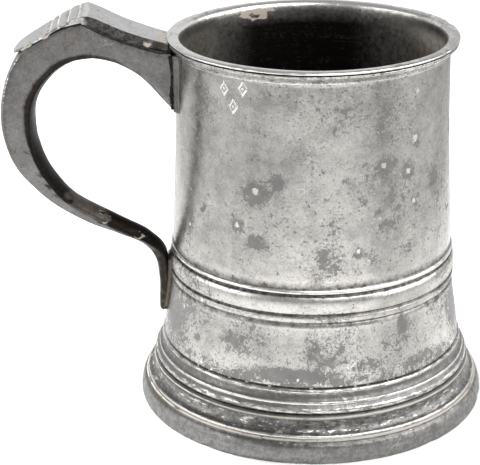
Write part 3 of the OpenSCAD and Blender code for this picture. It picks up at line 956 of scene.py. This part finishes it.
def plate_loop(r, z):
    """One ring of points across the plate with its marks. The far end of the ridge leans outwards."""
    half = plate_half(r)
    low = min(table([(a, b + SOLDER) for a, b in SEAM_LINE], r), z - 1.1)
    groove = sum(bell(r - g, 0.58) for g in GROOVES)
    z -= 0.32 * groove
    inner_slope = 1 - smooth(84.2, 85.4, r)
    under = 0.9 * inner_slope + 0.25
    ridge = bell(r - 84, 5)
    loop = []
    loop_marks = []

    def put(y, height, **marks):
        lean = 0.045 * y * ridge
        loop.append((-(r + max(lean, 0)), y, height + 0.3 * max(y, 0) / 10 * ridge * (height > low + 1)))
        loop_marks.append(marks)

    tops = [-1.0, -0.985] + [i / PLATE_STEPS - 1 for i in range(1, PLATE_STEPS * 2)] + [0.985, 1.0]
    for s in tops:                                           # top, -Y to +Y
        y = half * s
        edge = smooth(0.985, 1.0, abs(s))
        # Painted shade: the outermost rows of the top are darkened, most along the inner slope, to dull the
        # highlight on that edge
        put(y * (1 - 0.004 * edge), z - 0.08 * s * s - 0.05 * edge, bloom=0.12 + 0.25 * groove,
            cream=0.8 * groove * (1 - 0.5 * edge) + 0.9 * bell(r - 57, 3) * bell(y + 3, 8),
            worn=0.8 * bell(r - 84.4, 1.3), oxide=(0.35 + 0.5 * inner_slope) * edge)
    downs = (0.03, 0.1, 0.25, 0.5, 0.75, 0.93)
    for sign in (1, -1):
        for t in downs if sign > 0 else reversed(downs):
            star = bell(r - 62, 2.6) * bell(t - 0.5, 0.5)
            put(sign * (half - under * t), z - 0.18 - (z - 0.18 - low) * t, oxide=0.80 * inner_slope + 0.12,
                bloom=0.5, cream=0.9 * star, brown=0.3 * inner_slope)
        if sign > 0:
            for i in range(9):                               # underside, +Y to -Y
                put((half - under) * (1 - i / 4), low, oxide=0.6, cream=0.4 * smooth(103, 107, r))
    return loop, loop_marks


def plate():
    loops = []
    marks = []
    for r, z in curve(PLATE_TOP, 16) + curve(PLATE_OUT, 28):
        loop, loop_marks = plate_loop(r, z)
        loops.append(loop)
        marks += loop_marks
    loops = roughened(loops, 5, 0.10, 9)
    loft("ridge_plate", loops, plate_pewter, ["thumb_plate"], marks)


plate()


def blob(x, size):
    """Extra solder squeezed out at a place along the seam."""
    return math.sqrt(max(1 - (x / size) ** 2, 0.0))


SEAM_STEPS = 200
SEAM_FROM = 54.5
SEAM_TO = 109.5
# Where solder is squeezed out: distance, half length, how far it stands out
SEAM_BLOBS = [(58, 1.6, 0.35), (64, 1.0, 0.3), (70.5, 0.8, 0.25), (77, 0.9, 0.3), (92, 1.1, 0.3),
    (99, 1.8, 0.75), (106.5, 2.4, 0.6)]


def plate_seam():
    """Solder between the casting and the plate, squeezed out unevenly along both sides."""
    loops = []
    marks = []
    for i in range(SEAM_STEPS):
        r = SEAM_FROM + (SEAM_TO - SEAM_FROM) * i / (SEAM_STEPS - 1)
        z = table(SEAM_LINE, r)
        out = sum(stands * blob(r - at, long) for at, long, stands in SEAM_BLOBS)
        half = min(plate_half(r), table([(50, 8.8), (84, 10.1), (106, 9.6), (109, 8)], r)) - 0.3
        near = half + 0.35 * wander(r, 1.3, 0.3) + out
        far = half + 0.35 * wander(r, 1.6, 2.3) + 0.5 * out
        low = z - 0.05 - 0.55 * out
        high = z + SOLDER + 0.05
        section = [(-near + 0.3 * out, low), (far, low), (far, high), (-near, high + 0.1 * out)]
        loops.append([(-r, y, height) for y, height in section])
        pale = smooth(0.15, 0.4, out) * smooth(94, 98, r)
        marks += [{"oxide": 0.75 * (1 - pale), "cream": pale, "brown": 0.5}] * 4
    loft("plate_seam", loops, seam_solder, ["plate_solder"], marks)


plate_seam()

# ---------------------------------------------------------------- joints on the drum
SADDLE_ACROSS = (-11.2, -10.6, -9.6, -8.7, -6, -3, 0, 3, 6, 8.7, 9.6, 10.6, 11.2)
SADDLE_BACK = (10, 0, -10)
SADDLE_STEPS = 48


def saddle():
    """The plate that the wide end of the handle is soldered to, bevelled on to the drum, in the handle's
    darker metal, which partly stands for painted shade beside the handle.
    """
    loops = []
    for i in range(SADDLE_STEPS + 1):
        z = pad_low + (pad_high - pad_low) * i / SADDLE_STEPS
        skin_r = wall_r(z)
        loop = []
        for y in SADDLE_ACROSS:
            skin = math.sqrt(skin_r ** 2 - y * y)
            proud = (-pad_x - skin) * (1 - smooth(8.6, 11.2, abs(y)))
            wave = 0.25 * noise.noise(Vector((y / 2, z / 2.2, 4)))
            rise = 0.25 * noise.noise(Vector((y, i / 9, 2))) if i in (0, SADDLE_STEPS) else 0
            loop.append((-(skin + proud + wave * smooth(8, 10, abs(y))), y, z + rise))
        for y in SADDLE_BACK:
            loop.append((-(math.sqrt(skin_r ** 2 - y * y) - 0.5), y, z))
        loops.append(loop)
    marks = [{"bloom": 0.22, "brown": 0.04, "worn": 0.15}] * (len(loops) * len(loops[0]))
    # Painted shade in part: the handle's darker metal on the saddle also shows the shade beside the handle
    loft("saddle_plate", loops, handle_pewter, ["upper_pad"], marks)


saddle()

# How far the joint spreads on to the handle: height, shift along X
CRACK = [(119, -0.2), (125, -0.65), (129, -0.15), (133, 0.1), (137, -0.45), (141, -0.9)]


def wedge_seam():
    """The ragged solder joint between the handle's wide end and the saddle, with pale crumbs at its top."""
    loops = []
    marks = []
    steps = 90
    low = pad_low + 1
    for i in range(steps + 1):
        z = low + (pad_high - low) * i / steps
        shift = table(CRACK, z) + 0.25 * wander(z, 1.1, 3)
        near = 8.75 + 0.55 * wander(z, 0.9, 6)
        far = 8.5 + 0.35 * wander(z, 1.0, 7)
        left = end_x - 0.25 + min(shift, 0.1)
        right = pad_x + 0.25
        loops.append([(left, -near, z), (right, -near, z), (right, far, z), (left, far, z)])
        marks += [{"oxide": 0.9, "cream": 0.5 * smooth(128, 136, z)}] * 4
    loft("wedge_seam", loops, seam_solder, ["handle_solder"], marks)


wedge_seam()

# Across the solder under the tail: share of its half width, further across, distance out of the drum
TAIL_PROFILE = [(-1, 0, 0.05), (-1, 0.5, 0.9), (0, -5.0, 1.7), (0, 5.0, 1.7), (1, -0.5, 0.9), (1, 0, 0.05),
    (1, -0.6, -0.5), (-1, 0.6, -0.5)]


def tail_seam():
    """Solder that fills between the tail and the drum, with a small fillet along each side."""
    loops = []
    steps = 60
    for i in range(steps + 1):
        z = tail_low + (tail_high - tail_low) * i / steps
        half = 6.3 + 0.6 * wander(z, 2.2, 3) - 1.4 * smooth(tail_low + 3, tail_low, z)
        skin = wall_r(z)
        across = [(share * half + more, out) for share, more, out in TAIL_PROFILE]
        loops.append([(-(math.sqrt(skin ** 2 - y * y) + out), y, z) for y, out in across])
    marks = [{"brown": 1.0}] * (len(loops) * len(TAIL_PROFILE))
    loft("tail_seam", loops, seam_solder, ["tail_solder"], marks)


tail_seam()

# ---------------------------------------------------------------- floor, light and camera
FLOOR_PAINT = 0.94
WALL_FRONT = (-0.75, -0.15)  # where the duller front goes over into the bright wall, by direction along Y
WALL_HIGH = (0.38, 0.62)     # height of the bright wall's edge, as the sine of its elevation


def sheet(name, corners, material, seen=True):
    """A flat piece of the stage. One that isn't seen shows only in reflections."""
    mesh = bpy.data.meshes.new(name)
    mesh.from_pydata(corners, [], [(0, 1, 2, 3)])
    mesh.materials.append(material)
    card = bpy.data.objects.new(name, mesh)
    bpy.context.scene.collection.objects.link(card)
    card.visible_camera = seen
    card.visible_diffuse = seen
    card.visible_shadow = seen
    return card


def square(half, height):
    return [(-half, -half, height), (half, -half, height), (half, half, height), (-half, half, height)]


def stage_floor():
    """A matt floor of one pale tone, with the faintest mottle."""
    n = Nodes(bpy.data.materials.new("floor_paint"))
    tone = n.mix(n.noise(30, detail=2.0), FLOOR_PAINT * 0.985, FLOOR_PAINT)
    n.link(n.grey(tone), n.shader.inputs["Base Color"])
    n.shader.inputs["Roughness"].default_value = 0.7
    sheet("floor", square(4.0, 0), n.owner)


def area_light(name, place, target, size, power, mirrored=True):
    """A softbox that faces a target. mirrored says whether it shows in reflections."""
    light = bpy.data.lights.new(name, "AREA")
    light.shape = "RECTANGLE"
    light.size, light.size_y = size
    light.energy = power
    lamp = bpy.data.objects.new(name, light)
    lamp.location = place
    lamp.rotation_euler = (Vector(target) - Vector(place)).to_track_quat("-Z", "Y").to_euler()
    lamp.visible_glossy = mirrored
    bpy.context.scene.collection.objects.link(lamp)


def studio_world(wall, front, ceiling, below):
    """Soft studio light: a bright wall round the back and the sides, a duller front and a dark ceiling."""
    n = Nodes(bpy.data.worlds.new("studio"), "Background", "Generated")
    way = n.add("ShaderNodeSeparateXYZ")
    n.link(n.place, way.inputs[0])
    round_wall = n.mix(n.step(way.outputs["Y"], *WALL_FRONT), front, wall)
    sky = n.mix(n.step(way.outputs["Z"], *WALL_HIGH), round_wall, ceiling)
    whole = n.mix(n.step(way.outputs["Z"], -0.02, 0.0), below, sky)
    n.link(n.grey(whole), n.shader.inputs["Color"])
    bpy.context.scene.world = n.owner


# How bright the floor looks in reflections, by distance from the mug in metres: the light falls off round it
FALL_OFF = [(0.0, 1.04), (0.23, 1.04), (0.30, 0.90), (0.40, 0.74), (0.48, 0.57), (0.56, 0.42), (0.80, 0.32)]
FLOOR_TONE = 0.86
SIDEWAYS = 1.75              # the light falls off this much faster to the sides than to the front


def fall_off_card():
    """A matt card just over the floor that darkens away from the mug."""
    n = Nodes(bpy.data.materials.new("fall_off_paint"))
    far = n.add("ShaderNodeVectorMath", operation="LENGTH")
    n.link(n.scaled(1000 / SIDEWAYS, 1000, 1000), far.inputs[0])
    ramp = n.add("ShaderNodeValToRGB")
    n.link(far.outputs["Value"], ramp.inputs[0])
    while len(ramp.color_ramp.elements) < len(FALL_OFF):
        ramp.color_ramp.elements.new(0.5)
    for element, (at, level) in zip(ramp.color_ramp.elements, FALL_OFF):
        element.position = at
        element.color = (level * FLOOR_TONE, level * FLOOR_TONE, level * FLOOR_TONE, 1)
    n.link(ramp.outputs[0], n.shader.inputs["Base Color"])
    n.shader.inputs["Roughness"].default_value = 0.9
    sheet("fall_off", square(1.6, 0.0004), n.owner, seen=False)


# Painted shadow: the card below lies on the floor where shade would be, and shows only in reflections
FLARE = 2.5                  # how much wider the flag is at its far end


def painted_shadow_card(name, place, size, turn):
    """A black card on the floor, seen only in reflections: a painted shadow that the drum's right side
    mirrors as a dark band.
    """
    n = Nodes(bpy.data.materials.new(name + "_paint"))
    n.shader.inputs["Base Color"].default_value = (0.03, 0.03, 0.03, 1)
    n.shader.inputs["Roughness"].default_value = 0.9
    long, wide = size
    corners = [(0, -wide, 0), (long, -FLARE * wide, 0), (long, FLARE * wide, 0), (0, wide, 0)]
    card = sheet(name, corners, n.owner, seen=False)
    card.location = place
    card.rotation_euler = (0, 0, math.radians(turn))


stage_floor()
fall_off_card()
painted_shadow_card("painted_shadow_right", (0.31, -0.24, 0.0008), (0.50, 0.038), -38)
studio_world(0.80, 0.50, 0.36, 0.40)
area_light("key_left", (-2.35, 1.53, 0.74), (0, 0, 0.03), (0.50, 0.50), 250.0, mirrored=False)
area_light("soft_front", (0.33, -0.47, 0.69), (0, -0.1, 0.0), (0.95, 0.60), 6.0)
area_light("soft_right", (0.80, -0.16, 0.40), (0, 0, 0.05), (1.00, 0.60), 4.6)
area_light("soft_left", (-0.80, -0.20, 0.31), (0, 0, 0.05), (0.80, 0.50), 2.2)

# The camera stands 0.59 m in front of the mug and 0.3 m up, and looks down by 21.7 degrees
CAMERA_AT = (-0.0459, -0.5836, 0.2976)
CAMERA_YAW = math.radians(1.75)
CAMERA_DOWN = math.radians(21.66)
CAMERA_ROLL = math.radians(-0.53)
lens = bpy.data.cameras.new("camera")
lens.lens = 119.9
lens.sensor_width = 36
camera = bpy.data.objects.new("camera", lens)
bpy.context.scene.collection.objects.link(camera)
camera.matrix_world = (
    Matrix.Translation(CAMERA_AT)
    @ Matrix.Rotation(-CAMERA_YAW, 4, "Z")
    @ Matrix.Rotation(math.pi / 2 - CAMERA_DOWN, 4, "X")
    @ Matrix.Rotation(CAMERA_ROLL, 4, "Z")
)
bpy.context.scene.camera = camera
bpy.context.scene.view_settings.view_transform = "Standard"
